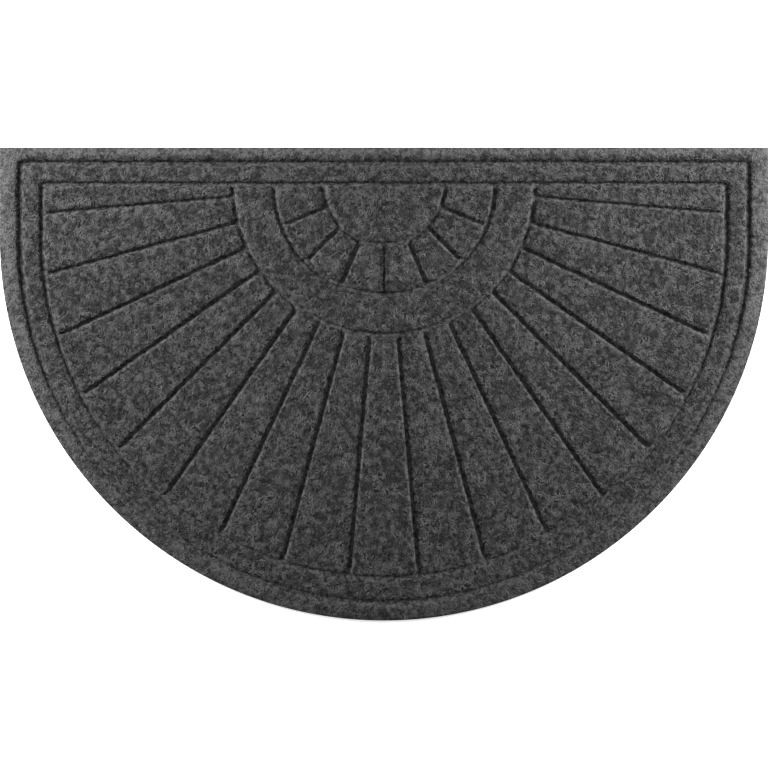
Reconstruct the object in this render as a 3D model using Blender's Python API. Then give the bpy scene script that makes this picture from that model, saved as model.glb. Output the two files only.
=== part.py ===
"""A half round entrance doormat: one piece of felt, moulded to shape and lying flat.

Its underside is at z = 0, its straight back edge is on the +Y side and its round edge on the
-Y side. The outline's arc is a half circle, with a short straight side at each end of it. The
mould presses narrow channels into the top face and leaves raised pads between them. Two
channels follow the whole outline, and the rest make a fan: arcs and spokes about one centre
near the back edge.
"""

import math
from collections import namedtuple

import bmesh
import bpy
from mathutils import Vector

# Outline, in metres
WIDTH = 0.9906
DEPTH = 0.6096
ARC_RADIUS = WIDTH / 2
BACK_Y = DEPTH / 2
ARC_CENTRE_Y = ARC_RADIUS - DEPTH / 2
ARC_STEPS = 72

# Heights above the ground, and how deep each kind of channel is pressed. The three depths
# differ a little, so that where channels meet their floors are not in one plane.
PAD_TOP = 0.0080
EDGE_HEIGHT = 0.0030
RIM_DEPTH = 0.0034
ARC_DEPTH = 0.0033
SPOKE_DEPTH = 0.0032

# The border's top face, from the mat's edge inwards. The back border is narrower than the
# one along the sides and the round edge, so each row has both insets.
BorderRow = namedtuple("BorderRow", "side back height")
BORDER = (
    BorderRow(side=0.0000, back=0.0000, height=EDGE_HEIGHT),
    BorderRow(side=0.0035, back=0.0030, height=0.0049),
    BorderRow(side=0.0080, back=0.0062, height=0.0066),
    BorderRow(side=0.0120, back=0.0092, height=0.0076),
    BorderRow(side=0.0160, back=0.0120, height=PAD_TOP),
)

# Centrelines of the two channels that follow the outline
RimChannel = namedtuple("RimChannel", "side back")
RIM_CHANNELS = (
    RimChannel(side=0.0250, back=0.0198),
    RimChannel(side=0.0540, back=0.0476),
)

# Half of a channel's section, from its lip to its floor. The drop is a share of its depth.
SectionRow = namedtuple("SectionRow", "offset drop")
SECTION = (
    SectionRow(offset=0.0050, drop=0.00),
    SectionRow(offset=0.0039, drop=0.13),
    SectionRow(offset=0.0026, drop=0.75),
    SectionRow(offset=0.0016, drop=1.00),
)

# The fan, about a centre on the inner rim channel's back stretch. Pitches are in degrees, and
# angles run from the +X side round through -Y. The inner spokes run from the hub's arc to the
# ring's inner arc, and the outer ones from the ring's outer arc to the inner rim channel.
FAN_CENTRE_Y = BACK_Y - RIM_CHANNELS[1].back
HUB_RADIUS = 0.0775
RING_INNER_RADIUS = 0.1418
RING_OUTER_RADIUS = 0.1937
INNER_SPOKES = 7
INNER_PITCH = 22.5
OUTER_SPOKES = 18
OUTER_PITCH = 10.0
FAN_ARC_STEPS = 48

# How far the cutters stand above the pads
CUTTER_RISE = 0.0010

FELT_COLOUR = (0.053, 0.053, 0.054, 1.0)
FELT_ROUGHNESS = 0.95
SHARP_ANGLE = math.radians(50)


def clear_scene():
    """Removes whatever the file opened with."""
    for obj in list(bpy.data.objects):
        bpy.data.objects.remove(obj, do_unlink=True)


def new_collection(name):
    """A collection linked to the scene."""
    collection = bpy.data.collections.new(name)
    bpy.context.scene.collection.children.link(collection)
    return collection


def add_object(bm, name, collection):
    """Makes a closed bmesh an object with its faces pointing out."""
    bmesh.ops.recalc_face_normals(bm, faces=bm.faces[:])
    mesh = bpy.data.meshes.new(name)
    bm.to_mesh(mesh)
    bm.free()
    obj = bpy.data.objects.new(name, mesh)
    collection.objects.link(obj)
    return obj


def outline(side, back):
    """The half round, moved in by one distance at its sides and arc and by another at its back.

    It starts at the back left corner and runs down the left side and round the arc.
    """
    radius = ARC_RADIUS - side
    back_y = BACK_Y - back
    points = [(-radius, back_y)]
    for step in range(ARC_STEPS + 1):
        angle = math.pi * (1 + step / ARC_STEPS)
        points.append((radius * math.cos(angle), ARC_CENTRE_Y + radius * math.sin(angle)))
    points.append((radius, back_y))
    return points


def rim_sections():
    """The loops of the mat's top, from its edge to the field inside the inner rim channel.

    Each is (side inset, back inset, height).
    """
    loops = [(row.side, row.back, row.height) for row in BORDER]
    for channel in RIM_CHANNELS:
        outer_half = [(-row.offset, row.drop) for row in SECTION]
        inner_half = [(row.offset, row.drop) for row in reversed(SECTION)]
        for offset, drop in outer_half + inner_half:
            height = PAD_TOP - RIM_DEPTH * drop
            loops.append((channel.side + offset, channel.back + offset, height))
    return loops


def make_felt(collection):
    """The mat with its two rim channels, raised loop by loop from the outline on the ground."""
    bm = bmesh.new()
    ground = bm.faces.new([bm.verts.new((x, y, 0.0)) for x, y in outline(0.0, 0.0)])
    top = bmesh.ops.duplicate(bm, geom=[ground])["face_map"][ground]
    for side, back, height in rim_sections():
        top = bmesh.ops.extrude_discrete_faces(bm, faces=[top])["faces"][0]
        for vert, (x, y) in zip(top.verts, outline(side, back)):
            vert.co = Vector((x, y, height))
    bmesh.ops.remove_doubles(bm, verts=bm.verts[:], dist=0.00001)
    return add_object(bm, "mat", collection)


def channel_section(depth):
    """A fan channel's section as (offset across, height), closed above the pads.

    The lip's slope carries on to the top of the cutter, so no corner lies in the pads' plane.
    """
    lip, shoulder = SECTION[0], SECTION[1]
    slope = depth * (shoulder.drop - lip.drop) / (lip.offset - shoulder.offset)
    half = [(lip.offset + CUTTER_RISE / slope, PAD_TOP + CUTTER_RISE)]
    half += [(row.offset, PAD_TOP - depth * row.drop) for row in SECTION[1:]]
    return half + [(-offset, height) for offset, height in reversed(half)]


def section_face(bm, depth, distance, across_axis):
    """The section as a face: a distance out along +X, with its width along the given axis."""
    verts = []
    for across, height in channel_section(depth):
        place = Vector((distance, 0.0, height)) + across * across_axis
        verts.append(bm.verts.new(place))
    return bm.faces.new(verts)


def arc_cutter(name, radius, collection):
    """A channel along a half circle about the fan's centre: its section, spun about Z."""
    bm = bmesh.new()
    face = section_face(bm, ARC_DEPTH, radius, Vector((1.0, 0.0, 0.0)))
    bmesh.ops.spin(
        bm,
        geom=list(face.verts) + list(face.edges) + [face],
        cent=(0.0, 0.0, 0.0),
        axis=(0.0, 0.0, -1.0),
        angle=math.pi,
        steps=FAN_ARC_STEPS,
    )
    cutter = add_object(bm, name, collection)
    cutter.location.y = FAN_CENTRE_Y
    return cutter


def spoke_cutter(name, angle, start, end, collection):
    """A straight channel on a ray of the fan: its section, drawn out from start to end."""
    bm = bmesh.new()
    face = section_face(bm, SPOKE_DEPTH, start, Vector((0.0, 1.0, 0.0)))
    drawn = bmesh.ops.extrude_face_region(bm, geom=[face])["geom"]
    far_verts = [item for item in drawn if isinstance(item, bmesh.types.BMVert)]
    bmesh.ops.translate(bm, verts=far_verts, vec=(end - start, 0.0, 0.0))
    cutter = add_object(bm, name, collection)
    cutter.location.y = FAN_CENTRE_Y
    cutter.rotation_euler.z = -angle
    return cutter


def reach_of_ray(angle):
    """How far a ray of the fan runs to the centreline of the inner rim channel.

    It meets the channel's straight side, or its arc where the ray falls below the arc's centre.
    """
    inset = RIM_CHANNELS[1].side
    radius = ARC_RADIUS - inset
    rise = FAN_CENTRE_Y - ARC_CENTRE_Y
    straight = radius / max(abs(math.cos(angle)), 1e-6)
    if straight * math.sin(angle) <= rise:
        return straight
    return rise * math.sin(angle) + math.sqrt(radius**2 - (rise * math.cos(angle)) ** 2)


def make_fan_cutters(collection):
    """The cutters of the fan's three arcs and two rings of spokes."""
    cutters = []
    arcs = (
        ("hub_arc", HUB_RADIUS),
        ("ring_inner_arc", RING_INNER_RADIUS),
        ("ring_outer_arc", RING_OUTER_RADIUS),
    )
    for name, radius in arcs:
        cutters.append(arc_cutter(name, radius, collection))
    for number in range(INNER_SPOKES):
        angle = math.radians(INNER_PITCH * (number + 1))
        name = f"inner_spoke_{number + 1}"
        cutters.append(spoke_cutter(name, angle, HUB_RADIUS, RING_INNER_RADIUS, collection))
    for number in range(OUTER_SPOKES):
        angle = math.radians(OUTER_PITCH * (number + 0.5))
        name = f"outer_spoke_{number + 1}"
        end = reach_of_ray(angle)
        cutters.append(spoke_cutter(name, angle, RING_OUTER_RADIUS, end, collection))
    for cutter in cutters:
        cutter.hide_render = True
        cutter.display_type = "WIRE"
    return cutters


def press_fan(mat, cutters):
    """Cuts each channel of the fan into the mat's top."""
    for cutter in cutters:
        cut = mat.modifiers.new(cutter.name, "BOOLEAN")
        cut.operation = "DIFFERENCE"
        cut.solver = "EXACT"
        cut.object = cutter


def felt_material():
    """Needle punched felt of charcoal fibre: a matt dark grey."""
    material = bpy.data.materials.new("charcoal_felt")
    material.use_nodes = True
    shader = material.node_tree.nodes["Principled BSDF"]
    shader.inputs["Base Color"].default_value = FELT_COLOUR
    shader.inputs["Roughness"].default_value = FELT_ROUGHNESS
    shader.inputs["Metallic"].default_value = 0.0
    return material


def main():
    clear_scene()
    model = new_collection("half_round_doormat")
    cutter_collection = new_collection("channel_cutters")
    mat = make_felt(model)
    mat.data.materials.append(felt_material())
    mat.data.shade_smooth()
    mat.data.set_sharp_from_angle(angle=SHARP_ANGLE)
    press_fan(mat, make_fan_cutters(cutter_collection))


main()
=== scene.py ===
import math

import bpy
import numpy as np
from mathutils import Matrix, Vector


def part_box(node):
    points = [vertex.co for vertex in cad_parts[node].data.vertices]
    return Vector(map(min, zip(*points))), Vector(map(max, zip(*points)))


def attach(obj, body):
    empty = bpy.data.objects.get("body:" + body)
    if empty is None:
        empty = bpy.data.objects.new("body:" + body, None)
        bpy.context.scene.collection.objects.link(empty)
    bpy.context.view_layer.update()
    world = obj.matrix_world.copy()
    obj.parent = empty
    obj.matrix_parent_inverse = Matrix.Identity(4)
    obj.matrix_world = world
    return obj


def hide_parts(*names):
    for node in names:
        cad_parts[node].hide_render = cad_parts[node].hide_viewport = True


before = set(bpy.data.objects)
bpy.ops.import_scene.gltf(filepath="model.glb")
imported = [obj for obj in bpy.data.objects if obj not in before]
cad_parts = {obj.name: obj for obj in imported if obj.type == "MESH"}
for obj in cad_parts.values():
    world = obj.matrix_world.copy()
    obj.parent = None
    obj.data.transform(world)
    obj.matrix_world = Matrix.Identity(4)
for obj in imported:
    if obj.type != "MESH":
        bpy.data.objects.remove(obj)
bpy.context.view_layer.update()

# A half round entrance mat, lying face up with its straight back edge on the +Y side. Lengths
# are in metres.

# The moulded felt
#
# One piece of needle punched felt, pressed hot in a mould that leaves raised pads between narrow
# channels, and then cut to its outline: a half circle with a short straight side at each end and
# a straight back. Two channels follow the outline, and the others make a fan.
low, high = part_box("mat")
ARC_RADIUS = (high.x - low.x) / 2
BACK_Y = high.y
ARC_CENTRE_Y = low.y + ARC_RADIUS
PAD_TOP = high.z

# (inset from the sides, inset from the back, drop of the arc's centre) of the centrelines of the
# two channels that follow the outline. The mat isn't cut quite centred on its mould, so the
# outer channel's arc lies nearer the edge at the bottom than at the sides.
OUTER_CHANNEL = (0.0272, 0.0209, 0.0036)
INNER_CHANNEL = (0.0552, 0.0476, 0.0000)

# The fan's centre lies on the inner of the two. Round it are a plain hub, a ring of short pads, a
# plain ring, and long pads that run out to the inner channel. The bounds are the pads' angles.
FAN_Y = BACK_Y - INNER_CHANNEL[1]
HUB_RADIUS = 0.0775
RING_INNER_RADIUS = 0.1418
RING_OUTER_RADIUS = 0.1937
SHORT_PAD_BOUNDS = np.radians(np.arange(9) * 22.5)
LONG_PAD_BOUNDS = np.radians(np.concatenate([[0.0], np.arange(5.0, 180.0, 10.0), [180.0]]))

# How far the corners between channels are rounded off
CORNER_BLEND = 0.0054


def soft_least(a, b, blend):
    """The lesser of two distances, with the corner where they are equal rounded off."""
    close = np.clip(1.0 - np.abs(a - b) / blend, 0.0, None)
    return np.minimum(a, b) - close * close * blend / 4.0


def insets(x, y, drop=0.0):
    """How far a place is in from the sides and arc, and from the back.

    The arc's centre is dropped towards the round edge by drop.
    """
    centre_y = ARC_CENTRE_Y - drop
    from_arc = ARC_RADIUS - np.hypot(x, y - centre_y)
    from_side = ARC_RADIUS - np.abs(x)
    return np.where(y < centre_y, from_arc, from_side), BACK_Y - y


def inside_channel(x, y, channel):
    """How far inside a rim channel's centreline a place is, with the back corners rounded."""
    side, back = insets(x, y, channel[2])
    return soft_least(side - channel[0], back - channel[1], CORNER_BLEND)


# The short spoke in the middle is much narrower than the rest, and shallower
MIDDLE_NARROWING = 2.0
MIDDLE_RAISE = 0.0021


def spoke_distance(radius, angle, bounds):
    """The distance to the nearest of the rays at the given angles.

    The distance to the middle ray is stretched and added to, for a narrower, shallower channel.
    """
    nearest = np.abs(angle[..., None] - bounds).argmin(-1)
    distance = radius * np.abs(np.sin(angle - bounds[nearest]))
    is_middle = np.abs(bounds[nearest] - math.pi / 2) < 0.01
    return np.where(is_middle, MIDDLE_NARROWING * distance + MIDDLE_RAISE, distance)


def fan_distance(x, y):
    """The distance to the fan's nearest arc or spoke, with the pads' corners rounded."""
    radius = np.hypot(x, FAN_Y - y)
    angle = np.arctan2(FAN_Y - y, x)
    arcs = np.array([HUB_RADIUS, RING_INNER_RADIUS, RING_OUTER_RADIUS])
    to_arc = np.abs(radius[..., None] - arcs).min(-1)
    to_long = spoke_distance(radius, angle, LONG_PAD_BOUNDS[1:-1])
    to_short = spoke_distance(radius, angle, SHORT_PAD_BOUNDS[1:-1])
    by_short_pads = (radius > HUB_RADIUS) & (radius < RING_INNER_RADIUS)
    to_spoke = np.where(by_short_pads, to_short, ARC_RADIUS)
    to_spoke = np.where(radius > RING_OUTER_RADIUS, to_long, to_spoke)
    return soft_least(to_arc, to_spoke, CORNER_BLEND)


# The outer channel's walls are gentler than the others', and the fan's channels are narrower
OUTER_WIDENING = 0.8
FAN_NARROWING = 1.1
OUT_OF_REACH = 1.0


def channel_distances(x, y):
    """The distances to the outer channel, the inner channel and the nearest of all channels.

    The distance to a wider channel is shortened, and that to a narrower one is stretched.
    """
    outer = OUTER_WIDENING * np.abs(inside_channel(x, y, OUTER_CHANNEL))
    inside = inside_channel(x, y, INNER_CHANNEL)
    in_fan = np.where(inside > 0, FAN_NARROWING * fan_distance(x, y), OUT_OF_REACH)
    nearest = np.minimum(soft_least(np.abs(inside), in_fan, CORNER_BLEND), outer)
    return outer, np.abs(inside), nearest


def smooth_step(share):
    """An S curve from 0 to 1: three times the share squared, less twice its cube."""
    share = np.clip(share, 0.0, 1.0)
    return share * share * (3.0 - 2.0 * share)


def lattice_noise(x, y, pitch, seed):
    """Noise from 0 to 1: random values on a square lattice, blended by an S curve between."""
    size = 1024
    values = np.random.default_rng(seed).random((size, size))
    across, along = x / pitch, y / pitch
    column, row = np.floor(across).astype(int), np.floor(along).astype(int)
    s, t = smooth_step(across - column), smooth_step(along - row)
    near_row, far_row = row % size, (row + 1) % size
    near_column, far_column = column % size, (column + 1) % size
    near = values[near_row, near_column] * (1 - s) + values[near_row, far_column] * s
    far = values[far_row, near_column] * (1 - s) + values[far_row, far_column] * s
    return near * (1 - t) + far * t


# A channel's section is a narrow floor, with walls that rise steeply and roll over into the pads.
# The felt doesn't fill the mould evenly, so the walls stand a little nearer or further off.
FLOOR_HALF_WIDTH = 0.0016
LIP_HALF_WIDTH = 0.0068
UNEVENNESS = 0.18
UNEVEN_PITCH = 0.010


def pad_share(x, y):
    """1 on a pad and 0 on a channel's floor, by a cubic curve that is steepest at the floor.

    The distance to the channel is scaled by lattice noise for the uneven walls.
    """
    uneven = 1.0 + UNEVENNESS * (2.0 * lattice_noise(x, y, UNEVEN_PITCH, 13) - 1.0)
    distance = channel_distances(x, y)[2] * uneven
    share = np.clip((distance - FLOOR_HALF_WIDTH) / (LIP_HALF_WIDTH - FLOOR_HALF_WIDTH), 0.0, 1.0)
    return 1.0 - (1.0 - share) ** 3


# The mould closes less hard on the rim towards the middle of the round edge, within this reach.
# The same S curve paints the border darker there, as painted shade.
ROUND_EDGE_EASE = 0.38
EASE_REACH = 0.8 * ARC_RADIUS


def rim_pressure_and_painted_shade(y):
    """How hard the mould closes on the rim: 1 at the straight sides, and an S curve down. As a
    factor on the border's paleness it is painted shade.
    """
    return 1.0 - ROUND_EDGE_EASE * smooth_step((ARC_CENTRE_Y - y) / EASE_REACH)


# How pale the border is at the sides and at the back, how fast that ends, and how pale a channel
# is. The press bears less hard on a channel than on the border, so it is less pale. The paleness
# is partly the felt's own where the press bears hardest and partly painted light: it is wider at
# the sides than at the back, and it covers a channel's walls and floor.
PALE_BORDER_AT_SIDES = 1.0
PALE_BORDER_AT_BACK = 0.6
PALE_BORDER_FADE = 4.0
CHANNEL_PRESSING_AND_PAINTED_LIGHT = 0.7


def pressing_and_painted_light_share(x, y):
    """1 where the felt is palest, in the border, less in a channel, 0 on a pad: partly the felt's
    paleness where the press bears hardest, and partly painted light.

    The border's share falls off by an S curve, nearer the edge at the back than at the sides, and
    the rim's S curve paints it darker towards the middle of the round edge, as painted shade.
    """
    side, back = insets(x, y)
    from_sides = PALE_BORDER_AT_SIDES - side / OUTER_CHANNEL[0]
    from_back = PALE_BORDER_AT_BACK - back / OUTER_CHANNEL[1]
    in_border = smooth_step(np.maximum(from_sides, from_back) * PALE_BORDER_FADE)
    in_channel = CHANNEL_PRESSING_AND_PAINTED_LIGHT * (1.0 - pad_share(x, y))
    # The border's paleness is cut by the rim's S curve: painted shade towards the middle of the
    # round edge
    return np.maximum(in_channel, in_border * rim_pressure_and_painted_shade(y))


OUTER_DEPTH = 0.0051
INNER_DEPTH = 0.0044
FAN_DEPTH = 0.0040

# The border's fall to the cut edge: its insets from the sides and from the back, and heights
BORDER_SIDE = np.array([0.0, 0.0040, 0.0085, 0.0130, 0.0174])
BORDER_BACK = np.array([0.0, 0.0028, 0.0060, 0.0090, 0.0120])
BORDER_HEIGHT = np.array([0.0030, 0.0046, 0.0062, 0.0074, PAD_TOP])

# The felt's own waviness, as the pitch and height of each wave, and how much of it is left in a
# channel
BROAD_PITCH, BROAD_HEIGHT = 0.030, 0.00035
SMALL_PITCH, SMALL_HEIGHT = 0.009, 0.00040
WAVE_LEFT = 0.25


def felt_height(x, y):
    """The face's height: the border's fall, less the channels, with the felt's own waviness.

    A channel's depth blends by S curves from the fan's to those of the rim's two channels, which
    are less where the mould closes less hard. The waviness is lattice noise of two pitches.
    """
    side, back = insets(x, y)
    border = np.minimum(
        np.interp(side, BORDER_SIDE, BORDER_HEIGHT), np.interp(back, BORDER_BACK, BORDER_HEIGHT)
    )
    pad = pad_share(x, y)
    outer, inner, _ = channel_distances(x, y)
    near_outer = smooth_step(2.0 - outer / LIP_HALF_WIDTH)
    near_inner = smooth_step(2.0 - inner / LIP_HALF_WIDTH)
    pressure = rim_pressure_and_painted_shade(y)
    depth = FAN_DEPTH + (OUTER_DEPTH * pressure - FAN_DEPTH) * near_outer
    depth = depth + (INNER_DEPTH * pressure - FAN_DEPTH) * near_inner
    broad = BROAD_HEIGHT * (lattice_noise(x, y, BROAD_PITCH, 11) - 0.5)
    small = SMALL_HEIGHT * (lattice_noise(x, y, SMALL_PITCH, 12) - 0.5)
    waviness = (broad + small) * (WAVE_LEFT + (1.0 - WAVE_LEFT) * pad)
    return border - depth * (1.0 - pad) + waviness


# Grid lines lie at these distances from a channel's centreline, so that its walls are smooth
NEAR = np.array([0.0009, 0.0017, 0.0025, 0.0034, 0.0044, 0.0056, 0.0070])


def cell_lines(count):
    """A cell's grid lines, as the share of the way across it and the offset from its walls."""
    middle = count - 2 * len(NEAR)
    inner = np.arange(1, middle)
    share = np.concatenate([np.zeros(len(NEAR) + 1), inner / middle, np.ones(len(NEAR))])
    offset = np.concatenate([[0.0], NEAR, np.full(middle - 1, NEAR[-1]), NEAR[::-1]])
    return share, offset


def ring_lines(bounds, counts):
    """The grid lines round a ring of cells: low bound, high bound, share and offset of each."""
    parts = []
    for start, end, count in zip(bounds[:-1], bounds[1:], counts):
        share, offset = cell_lines(count)
        parts.append(np.stack([np.full(count, start), np.full(count, end), share, offset]))
    last = np.array([[bounds[-2]], [bounds[-1]], [1.0], [0.0]])
    return np.concatenate(parts + [last], axis=1)


# How many grid lines a pad of each kind has across, 480 in all on every ring
LONG_LINES = ring_lines(LONG_PAD_BOUNDS, [19] + [26] * 17 + [19])
SHORT_LINES = ring_lines(SHORT_PAD_BOUNDS, [60] * 8)
HUB_LINES = ring_lines(np.array([0.0, math.pi]), [480])

# Inside this radius a grid line turns no further from its spoke, so that no two lines cross
LEAST_RADIUS = 0.012


def line_angles(lines, radius):
    """Each grid line's angle at a radius, so that it stays at its offset from the spoke."""
    start, end, share, offset = lines
    turn = np.arcsin(offset / np.maximum(radius, LEAST_RADIUS))
    return (1 - share) * (start + turn) + share * (end - turn)


def reach(angle, inset):
    """How far a ray from the fan's centre runs to the side or arc that is moved in by inset."""
    radius = ARC_RADIUS - inset
    rise = FAN_Y - ARC_CENTRE_Y
    straight = radius / np.maximum(np.abs(np.cos(angle)), 1e-6)
    curved = rise * np.sin(angle) + np.sqrt(radius**2 - (rise * np.cos(angle)) ** 2)
    return np.where(straight * np.sin(angle) <= rise, straight, curved)


def levels_between(start, end, count):
    """Radii from one arc's centreline up to the next one's, as a column."""
    share, offset = cell_lines(count)
    return ((1 - share) * (start + offset) + share * (end - offset))[:, None]


# How many grid rows each ring has, and the radius in the hub at which its lines begin to shift
HUB_ROWS = 13
SHORT_PAD_ROWS = 21
PLAIN_RING_ROWS = 19
LONG_PAD_ROWS = 46
HUB_SHIFT_START = 0.030


def fan_grid():
    """The fan's grid as x and y, rows outwards from the centre and columns round from +X.

    The grid's lines follow the arcs and spokes, and shift by an S curve from one ring's spokes
    to the next one's across the plain ring and the hub. The long pads end on the inner channel,
    so a line's angle and its length there are worked out in turn until they agree.
    """
    to_wall = np.linspace(0.0, HUB_RADIUS - NEAR[-1], HUB_ROWS)[1:]
    hub = np.concatenate([to_wall, HUB_RADIUS - NEAR[-2::-1]])[:, None]
    short = levels_between(HUB_RADIUS, RING_INNER_RADIUS, SHORT_PAD_ROWS)
    plain = levels_between(RING_INNER_RADIUS, RING_OUTER_RADIUS, PLAIN_RING_ROWS)
    to_short = smooth_step((hub - HUB_SHIFT_START) / (HUB_RADIUS - HUB_SHIFT_START))
    to_long = smooth_step((plain - RING_INNER_RADIUS) / (RING_OUTER_RADIUS - RING_INNER_RADIUS))
    hub_angle = (1 - to_short) * line_angles(HUB_LINES, hub)
    hub_angle = hub_angle + to_short * line_angles(SHORT_LINES, hub)
    short_angle = line_angles(SHORT_LINES, short)
    plain_angle = (1 - to_long) * line_angles(SHORT_LINES, plain)
    plain_angle = plain_angle + to_long * line_angles(LONG_LINES, plain)
    share, offset = (column[:, None] for column in cell_lines(LONG_PAD_ROWS))
    share = np.concatenate([share, [[1.0]]])
    offset = np.concatenate([offset, [[0.0]]])
    long_angle = line_angles(LONG_LINES, np.full((len(share), 1), RING_OUTER_RADIUS))
    for _ in range(6):
        end = reach(long_angle, INNER_CHANNEL[0] + offset)
        long = (1 - share) * (RING_OUTER_RADIUS + offset) + share * end
        long_angle = line_angles(LONG_LINES, long)
    wide = np.ones((1, LONG_LINES.shape[1]))
    radius = np.concatenate([hub * wide, short * wide, plain * wide, long])
    angle = np.concatenate([hub_angle, short_angle, plain_angle, long_angle])
    return radius * np.cos(angle), FAN_Y - radius * np.sin(angle)


def carried_out(x, y, side, back, drop):
    """Places on the inner channel's centreline, carried out to other insets and another drop.

    A place on the arc keeps its angle, and one on a straight stretch keeps its share of it.
    """
    scale = (ARC_RADIUS - side) / (ARC_RADIUS - INNER_CHANNEL[0])
    centre_y, back_y = ARC_CENTRE_Y - drop, BACK_Y - back
    up = (y - ARC_CENTRE_Y) / (FAN_Y - ARC_CENTRE_Y)
    on_arc = centre_y + (y - ARC_CENTRE_Y) * scale
    new_y = np.where(up < 0, on_arc, centre_y + up * (back_y - centre_y))
    return x * scale, new_y


BAND_ROWS = 5
BORDER_ROWS = 12


def rim_rows():
    """The rim's grid rows from the inner channel out to the edge: insets and drop of each."""
    inner, outer = np.array(INNER_CHANNEL), np.array(OUTER_CHANNEL)
    near = NEAR[:, None] * np.array([1.0, 1.0, 0.0])
    band = np.linspace(inner - near[-1], outer + near[-1], BAND_ROWS)[1:-1]
    border = np.linspace(outer - near[-1], np.zeros(3), BORDER_ROWS)[1:]
    to_outer = [inner - near, band, outer + near[::-1], outer[None]]
    return np.concatenate(to_outer + [outer - near, border])


# The cut edge's inset and height at each row below the face, and the underside's rows as shares
# of the way from the middle
EDGE_ROWS = ((0.0000, 0.0024), (0.0000, 0.0007), (0.0005, 0.0000))
UNDER_SHARES = (0.96, 0.85, 0.68, 0.48, 0.26, 0.10)


def loop_quads(inner, outer):
    """Quads between two closed loops of point numbers that run clockwise from above."""
    return np.stack([inner, np.roll(inner, -1), np.roll(outer, -1), outer], axis=1)


def felt_mesh():
    """Points and faces of the closed mat.

    The fan's grid comes first. Its outline is carried out over the rim, down the cut edge and in
    again under the mat, with a strip of quads from each loop to the next, and a fan of triangles
    closes the underside.
    """
    fan_x, fan_y = fan_grid()
    rows, columns = fan_x.shape
    centre = rows * columns
    number = np.arange(centre).reshape(rows, columns)
    fan_x, fan_y = np.append(fan_x, 0.0), np.append(fan_y, FAN_Y)
    fan_quads = np.stack([number[:-1, :-1], number[:-1, 1:], number[1:, 1:], number[1:, :-1]], -1)
    hub_fan = np.stack([np.full(columns - 1, centre), number[0, 1:], number[0, :-1]], axis=1)
    outline = np.concatenate([number[-1], number[-2::-1, -1], [centre], number[:-1, 0]])
    start_x, start_y = fan_x[outline], fan_y[outline]
    loops = []
    for side, back, drop in rim_rows():
        x, y = carried_out(start_x, start_y, side, back, drop)
        loops.append((x, y, felt_height(x, y)))
    for inset, height in EDGE_ROWS:
        x, y = carried_out(start_x, start_y, inset, inset, 0.0)
        loops.append((x, y, np.full(len(x), height)))
    for share in UNDER_SHARES:
        loops.append((x * share, y * share, np.zeros(len(x))))
    loop_numbers = centre + 1 + np.arange(len(loops) * len(outline)).reshape(len(loops), -1)
    strips = [loop_quads(outline, loop_numbers[0])]
    strips += [loop_quads(near, far) for near, far in zip(loop_numbers[:-1], loop_numbers[1:])]
    last = loop_numbers[-1]
    under_fan = np.stack([last, np.roll(last, -1), np.full(len(last), last[-1] + 1)], axis=1)
    face = np.stack([fan_x, fan_y, felt_height(fan_x, fan_y)], axis=1)
    rest = [np.stack(loop, axis=1) for loop in loops]
    points = np.concatenate([face] + rest + [np.zeros((1, 3))])
    return points, [hub_fan, fan_quads.reshape(-1, 4)] + strips + [under_fan]


def new_piece(name, points, faces):
    """A mesh object from an array of points and arrays of faces, each with equal corners."""
    mesh = bpy.data.meshes.new(name)
    corners = np.concatenate([part.ravel() for part in faces])
    totals = np.concatenate([np.full(len(part), part.shape[1]) for part in faces])
    mesh.vertices.add(len(points))
    mesh.vertices.foreach_set("co", points.astype(np.float32).ravel())
    mesh.loops.add(len(corners))
    mesh.loops.foreach_set("vertex_index", corners.astype(np.int32))
    mesh.polygons.add(len(totals))
    mesh.polygons.foreach_set("loop_start", (np.cumsum(totals) - totals).astype(np.int32))
    mesh.update(calc_edges=True)
    mesh.validate()
    mesh.shade_smooth()
    piece = bpy.data.objects.new(name, mesh)
    bpy.context.scene.collection.objects.link(piece)
    return piece


def linear(hex_colour):
    """An sRGB hex colour as linear red, green, blue and alpha."""
    parts = [int(hex_colour[at : at + 2], 16) / 255 for at in (1, 3, 5)]
    return [c / 12.92 if c <= 0.04045 else ((c + 0.055) / 1.055) ** 2.4 for c in parts] + [1.0]


def add_node(material, kind, settings=(), inputs=(), links=()):
    """Adds a node: its settings, its sockets' values, and links as (output, this input)."""
    node = material.node_tree.nodes.new(kind)
    for name, value in dict(settings).items():
        setattr(node, name, value)
    for name, value in dict(inputs).items():
        node.inputs[name].default_value = value
    for source, name in links:
        material.node_tree.links.new(source, node.inputs[name])
    return node


def new_material(name):
    """An empty material and its Principled shader."""
    material = bpy.data.materials.new(name)
    material.use_nodes = True
    return material, material.node_tree.nodes["Principled BSDF"]


# Needle punched polypropylene felt, hot pressed: a matt tangle of black and grey fibre, which
# the eye reads as a heather of dark and light specks. A real fibre is 0.05 mm thick and too fine
# to show, so the specks are drawn 5 mm across, about as the clumps of fibre are. Where the press
# bears hardest the ramp is paler and its specks fainter: partly the denser, smoother felt's own
# paleness, and partly painted light on the border and in the channels.
SPECK_PITCH = 0.0052
SPECK_BUMP = 0.0006
DARK_SPECKS_END, LIGHT_SPECKS_START = 0.36, 0.66
LOOSE_FELT = ("#0e0e0e", "#3e3e3e")
# The paler ramp: partly the felt's own where the press bears hardest, partly painted light
PRESSED_FELT_AND_PAINTED_LIGHT = ("#222222", "#484848")


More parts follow.
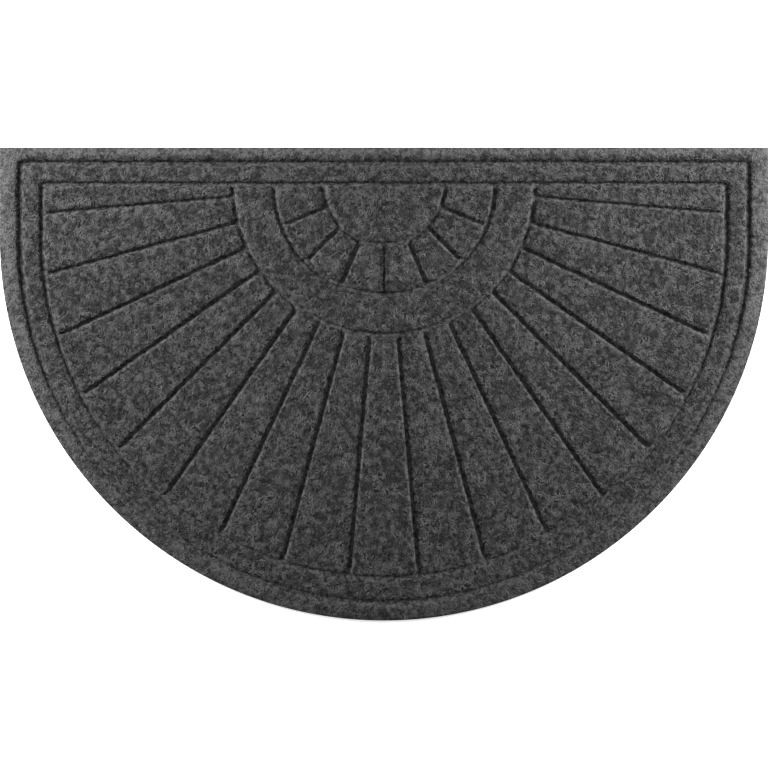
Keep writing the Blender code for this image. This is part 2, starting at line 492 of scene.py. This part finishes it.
def felt_ground_material():
    """The tangle under the loose fibres: specks of noise on Object coordinates, with bumps.

    The specks' ramp blends from loose felt's to the paler ramp by the paleness attribute, which is
    partly the felt's own paleness where the press bears hardest and partly painted light.
    """
    material, shader = new_material("needle_punched_felt")
    place = add_node(material, "ShaderNodeTexCoord").outputs["Object"]
    specks = add_node(
        material, "ShaderNodeTexNoise", {},
        {"Scale": 1 / SPECK_PITCH, "Detail": 1.0, "Roughness": 0.35, "Distortion": 0.6},
        [(place, "Vector")],
    )
    shades = []
    for dark, light in (LOOSE_FELT, PRESSED_FELT_AND_PAINTED_LIGHT):
        shade = add_node(material, "ShaderNodeValToRGB", {}, {}, [(specks.outputs["Fac"], "Fac")])
        first, second = shade.color_ramp.elements
        first.position, first.color = DARK_SPECKS_END, linear(dark)
        second.position, second.color = LIGHT_SPECKS_START, linear(light)
        shades.append(shade.outputs["Color"])
    # The share of the paler ramp: partly the felt's own paleness, partly painted light
    pressing_and_painted_light = add_node(material, "ShaderNodeAttribute", {"attribute_name": "pressing_and_painted_light"})
    mixed = add_node(
        material, "ShaderNodeMix", {"data_type": "RGBA"}, {},
        [(pressing_and_painted_light.outputs["Fac"], 0), (shades[0], 6), (shades[1], 7)],
    )
    bump = add_node(
        material, "ShaderNodeBump", {}, {"Strength": 0.5, "Distance": SPECK_BUMP},
        [(specks.outputs["Fac"], "Height")],
    )
    links = material.node_tree.links
    links.new(mixed.outputs[2], shader.inputs["Base Color"])
    links.new(bump.outputs["Normal"], shader.inputs["Normal"])
    shader.inputs["Roughness"].default_value = 0.95
    shader.inputs["Specular IOR Level"].default_value = 0.2
    return material


points, faces = felt_mesh()
felt_face = new_piece("felt_face", points, faces)
# Each point's share of the paler ramp: partly the felt's own paleness, partly painted light, and
# painted shade towards the middle of the round edge
pressing_and_painted_light = felt_face.data.attributes.new("pressing_and_painted_light", "FLOAT", "POINT")
pressing_and_painted_light.data.foreach_set("value", pressing_and_painted_light_share(points[:, 0], points[:, 1]).astype(np.float32))
felt_face.data.materials.append(felt_ground_material())
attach(felt_face, "root")
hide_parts("mat")

# The face's loose fibres
#
# Needling brings the ends and loops of the staple up out of the felt, and the press lays them
# down again in all directions. The blend has four shades, and clumps of one shade run through
# it, since it is never carded quite even.

# A real fibre is too fine to show here, so each spindle stands for a lock of them
FIBRES_PER_SHADE = 16400
FIBRE_LENGTH = (0.0042, 0.0080)
FIBRE_RISE = (0.00005, 0.00026)
TIP_SINK = 0.0002

# A few strays stand up higher
STRAY_SHARE = 0.02
STRAY_RISE = 0.0008

# The share along a fibre of its spine points, and the spread of its two kinds of bend
SPINE_SHARES = np.array([-0.5, -0.17, 0.17, 0.5])
BOW = 0.75
WAVE = 2.2

# How far in from the edge a fibre's middle is at least, how far out its points may stand, and
# how much of a channel's wall it may span
MIDDLE_INSET = 0.0015
EDGE_OVERHANG = 0.0008
WALL_SPAN = 0.55


def fibre_spines(count, seed):
    """Each fibre's four spine points, from tip to tip, as arrays of x, y and z.

    A spine is a short line in a random direction, bent sideways by a parabola and an S, laid on
    the face. Its tips are sunk, and fibres that would bridge a channel are left out.
    """
    rng = np.random.default_rng(seed)
    tries = int(count * 1.9)
    x = rng.uniform(low.x, high.x, tries)
    y = rng.uniform(low.y, high.y, tries)
    side, back = insets(x, y)
    on_mat = np.minimum(side, back) > MIDDLE_INSET
    x, y = x[on_mat, None], y[on_mat, None]
    length = rng.uniform(*FIBRE_LENGTH, x.shape)
    turn = rng.uniform(0.0, 2.0 * math.pi, x.shape)
    along = SPINE_SHARES
    bend = rng.normal(0.0, BOW, x.shape) * (along**2 - 0.1)
    bend = bend + rng.normal(0.0, WAVE, x.shape) * along * (along**2 - 0.15)
    spine_x = x + length * (along * np.cos(turn) - bend * np.sin(turn))
    spine_y = y + length * (along * np.sin(turn) + bend * np.cos(turn))
    pad = pad_share(spine_x, spine_y)
    side, back = insets(spine_x, spine_y)
    inside = np.minimum(side, back).min(axis=1) > -EDGE_OVERHANG
    kept = np.flatnonzero((np.ptp(pad, axis=1) < WALL_SPAN) & inside)[:count]
    spine_x, spine_y = spine_x[kept], spine_y[kept]
    rise = rng.uniform(*FIBRE_RISE, (count, 1))
    stray = rng.random((count, 1)) < STRAY_SHARE
    rise = np.where(stray, rise + STRAY_RISE * rng.random((count, 1)), rise)
    sunk = np.full((count, 1), -TIP_SINK)
    lift = np.concatenate([sunk, rise, rise, sunk], axis=1)
    return spine_x, spine_y, felt_height(spine_x, spine_y) + lift


# The pitch and weight of the clumps of one shade and of the broader blotches, the weight of a
# fibre's own chance, and how much paler the fibres are where the press bears hardest, which is
# partly the felt's own paleness and partly painted light
CLUMP_PITCH, CLUMP_WEIGHT = 0.0054, 0.84
BLOTCH_PITCH, BLOTCH_WEIGHT = 0.0150, 0.10
OWN_WEIGHT = 0.06
PRESSING_AND_PAINTED_LIGHT_SHIFT = 0.20


def fibre_shades(x, y, seed):
    """Places from 0 to 1 in the blend: one for each fibre, and one for each of its spine points.

    The sum of clump noise, blotch noise and the fibre's own chance is ranked among all fibres.
    """
    own = np.random.default_rng(seed).random((len(x), 1))
    clump = lattice_noise(x, y, CLUMP_PITCH, seed + 1)
    blotch = lattice_noise(x, y, BLOTCH_PITCH, seed + 2)
    mixed = CLUMP_WEIGHT * clump + BLOTCH_WEIGHT * blotch + OWN_WEIGHT * own
    # Paler by the paleness mask: partly the felt's own paleness, partly painted light
    mixed = mixed + PRESSING_AND_PAINTED_LIGHT_SHIFT * pressing_and_painted_light_share(x, y)
    middle = mixed.mean(axis=1)
    order = np.sort(middle)
    return np.searchsorted(order, middle) / len(x), np.searchsorted(order, mixed) / len(x)


# A spindle's points are a tip, two three-sided rings and a tip
SPINDLE_TIPS = np.array([[0, 1, 2], [0, 2, 3], [0, 3, 1], [7, 5, 4], [7, 6, 5], [7, 4, 6]])
SPINDLE_SIDES = np.array([[4, 5, 2, 1], [5, 6, 3, 2], [6, 4, 1, 3]])
FIBRE_WIDTH = (0.00115, 0.00180)
RIDGE_SHARE = 0.07


def spindles(x, y, z, seed):
    """Points and faces of a spindle on each spine: a ridge on top, and two edges under it.

    Its ridge stands a share of its width above the spine, and its edges half as much below.
    """
    count = len(x)
    rng = np.random.default_rng(seed)
    width = rng.uniform(*FIBRE_WIDTH, count)
    spine = np.stack([x, y, z], axis=2)
    run = spine[:, 2] - spine[:, 1]
    run = run / np.linalg.norm(run, axis=1, keepdims=True)
    across = np.stack([-run[:, 1], run[:, 0], np.zeros(count)], axis=1)
    across = across / np.linalg.norm(across, axis=1, keepdims=True) * width[:, None] / 2
    up = np.zeros((count, 3))
    up[:, 2] = width * RIDGE_SHARE
    down = -up / 2
    rings = []
    for station in (1, 2):
        middle = spine[:, station]
        rings.append(np.stack([middle + up, middle + across + down, middle - across + down], axis=1))
    points = np.concatenate([spine[:, :1], rings[0], rings[1], spine[:, 3:]], axis=1)
    first = 8 * np.arange(count)[:, None, None]
    tips = (first + SPINDLE_TIPS).reshape(-1, 3)
    sides = (first + SPINDLE_SIDES).reshape(-1, 4)
    return points.reshape(-1, 3), [tips, sides]


# Each of a spindle's eight points has a spine point, and a small step aside in the map
POINT_STATIONS = np.array([0, 1, 1, 1, 2, 2, 2, 3])
POINT_STEPS = np.array([0.0, 0.0, 0.006, -0.006, 0.0, 0.006, -0.006, 0.0])
STATION_HEIGHTS = np.array([0.02, 0.35, 0.65, 0.98])


def set_fibre_map(piece, shade):
    """A UV map for each fibre: its shade at each spine point across, and the way along it up."""
    corner_points = np.empty(len(piece.data.loops), dtype=np.int32)
    piece.data.loops.foreach_get("vertex_index", corner_points)
    fibre, point = corner_points // 8, corner_points % 8
    station = POINT_STATIONS[point]
    across = 0.02 + 0.96 * shade[fibre, station] + POINT_STEPS[point]
    bake_map = piece.data.uv_layers.new(name="OFBake")
    places = np.stack([across, STATION_HEIGHTS[station]], axis=1)
    bake_map.data.foreach_set("uv", places.astype(np.float32).ravel())


# Solution dyed polypropylene staple: matt and coloured right through. Each fibre is painted a
# little darker at its ends, as painted shade where it goes down into the felt
PAINTED_END_SHADE = (0.7, 0.7, 0.7, 1.0)
FULL_SHADE = (1.0, 1.0, 1.0, 1.0)


def fibre_material(name, dark, light):
    """One shade of the blend, from dark to light across the map, with painted shade at both its
    ends.
    """
    material, shader = new_material(name)
    place = add_node(material, "ShaderNodeUVMap", {"uv_map": "OFBake"}).outputs["UV"]
    parts = add_node(material, "ShaderNodeSeparateXYZ", {}, {}, [(place, "Vector")])
    shade = add_node(
        material, "ShaderNodeMix", {"data_type": "RGBA"}, {6: linear(dark), 7: linear(light)},
        [(parts.outputs["X"], 0)],
    )
    # Painted shade: the fibre's colour darkened towards both its ends
    root = add_node(material, "ShaderNodeValToRGB", {}, {}, [(parts.outputs["Y"], "Fac")])
    first, last = root.color_ramp.elements
    first.position, first.color = 0.0, PAINTED_END_SHADE
    last.position, last.color = 1.0, PAINTED_END_SHADE
    for position in (0.3, 0.7):
        root.color_ramp.elements.new(position).color = FULL_SHADE
    mixed = add_node(
        material, "ShaderNodeMix", {"data_type": "RGBA", "blend_type": "MULTIPLY"}, {0: 1.0},
        [(shade.outputs[2], 6), (root.outputs["Color"], 7)],
    )
    material.node_tree.links.new(mixed.outputs[2], shader.inputs["Base Color"])
    shader.inputs["Roughness"].default_value = 0.85
    shader.inputs["Specular IOR Level"].default_value = 0.25
    return material


FIBRE_SHADES = (
    ("black_fibres", "#101010", "#292929"),
    ("charcoal_fibres", "#1d1d1d", "#343434"),
    ("grey_fibres", "#2b2b2b", "#404040"),
    ("pale_grey_fibres", "#363636", "#4f4f4f"),
)

# A fibre belongs to the shade that its middle falls in. Its spine points may reach half a shade
# beyond that, which is the middle half of the shade's map.
shade_count = len(FIBRE_SHADES)
spine_x, spine_y, spine_z = fibre_spines(shade_count * FIBRES_PER_SHADE, 21)
fibre_blend, point_blend = fibre_shades(spine_x, spine_y, 31)
for number, (name, dark, light) in enumerate(FIBRE_SHADES):
    mine = np.floor(fibre_blend * shade_count).astype(int) == number
    points, faces = spindles(spine_x[mine], spine_y[mine], spine_z[mine], 41 + number)
    fibres = new_piece(name, points, faces)
    set_fibre_map(fibres, np.clip((point_blend[mine] * shade_count - number + 0.5) / 2, 0.0, 1.0))
    fibres.data.materials.append(fibre_material(name, dark, light))
    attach(fibres, "root")
    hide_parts("mat")

# The floor
#
# A plain white table of opal acrylic with some light from below, so that the mat shows against
# white and throws hardly any shadow, as in the photograph.
bpy.ops.mesh.primitive_plane_add(size=14.0, location=(0.0, 0.0, -0.0002))
floor = bpy.context.object
floor.name = "floor"
floor_material, floor_shader = new_material("opal_acrylic")
floor_shader.inputs["Base Color"].default_value = linear("#f4f4f4")
floor_shader.inputs["Roughness"].default_value = 0.9
floor_shader.inputs["Emission Color"].default_value = linear("#ffffff")
floor_shader.inputs["Emission Strength"].default_value = 0.5
floor.data.materials.append(floor_material)

# The studio light
#
# A soft lamp low at each side, and a thin grey card on edge between them, so that each lamp
# lights its own half of the mat. The camera can't see the card.
LAMP_ELEVATION = math.radians(30)
LAMP_SIDE_ANGLE = math.radians(35)
LAMP_SPREAD = math.radians(116)
LAMP_DISTANCE = 1.6
LAMP_SIZE = 0.5
LAMP_WATTS = 35.0

# Each lamp stands this much further out to its side, and aims a little past the middle
LAMP_SHIFT = 0.25
LAMP_AIM = (-0.15, 0.12)


def add_area_lamp(name, place, target):
    """A square soft lamp at a place, turned to a target."""
    data = bpy.data.lights.new(name, "AREA")
    data.shape = "SQUARE"
    data.size = LAMP_SIZE
    data.spread = LAMP_SPREAD
    data.energy = LAMP_WATTS
    lamp = bpy.data.objects.new(name, data)
    bpy.context.scene.collection.objects.link(lamp)
    lamp.location = place
    aim = np.array(target) - np.array(place)
    lamp.rotation_euler = (
        math.acos(-aim[2] / np.linalg.norm(aim)), 0.0, math.atan2(aim[1], aim[0]) - math.pi / 2
    )


for side, name in ((-1, "left_lamp"), (1, "right_lamp")):
    flat = LAMP_DISTANCE * math.cos(LAMP_ELEVATION)
    place = (
        side * (LAMP_SHIFT + flat * math.cos(LAMP_SIDE_ANGLE)), flat * math.sin(LAMP_SIDE_ANGLE),
        LAMP_DISTANCE * math.sin(LAMP_ELEVATION),
    )
    add_area_lamp(name, place, (side * LAMP_AIM[0], LAMP_AIM[1], 0.0))

# The card's foot is just below the floor, so that no light comes through under it
CARD_HEIGHT = 0.32
CARD_LENGTH = 6.0
CARD_FOOT = -0.005
bpy.ops.mesh.primitive_plane_add(
    size=1.0, location=(0.0, 0.0, CARD_FOOT + CARD_HEIGHT / 2), rotation=(0.0, math.pi / 2, 0.0)
)
card = bpy.context.object
card.name = "lamp_card"
card.scale = (CARD_HEIGHT, CARD_LENGTH, 1.0)
card_material, card_shader = new_material("grey_card")
card_shader.inputs["Base Color"].default_value = linear("#808080")
card_shader.inputs["Roughness"].default_value = 1.0
card.data.materials.append(card_material)
card.visible_camera = False

world = bpy.data.worlds.new("studio")
world.use_nodes = True
world.node_tree.nodes["Background"].inputs["Color"].default_value = (1.0, 1.0, 1.0, 1.0)
world.node_tree.nodes["Background"].inputs["Strength"].default_value = 0.42
bpy.context.scene.world = world
bpy.context.scene.view_settings.view_transform = "Standard"

# The camera
#
# It looks straight down. At the height of the mat's cut edge it frames what the photograph's 768
# pixels cover, with 1.288 mm to a pixel.
FRAME_WIDTH = 768 * 0.0012882
camera_data = bpy.data.cameras.new("camera")
camera_data.lens = 135.0
camera = bpy.data.objects.new("camera", camera_data)
bpy.context.scene.collection.objects.link(camera)
camera_distance = FRAME_WIDTH * camera_data.lens / camera_data.sensor_width
camera.location = (0.0, 0.0, BORDER_HEIGHT[0] + camera_distance)
bpy.context.scene.camera = camera
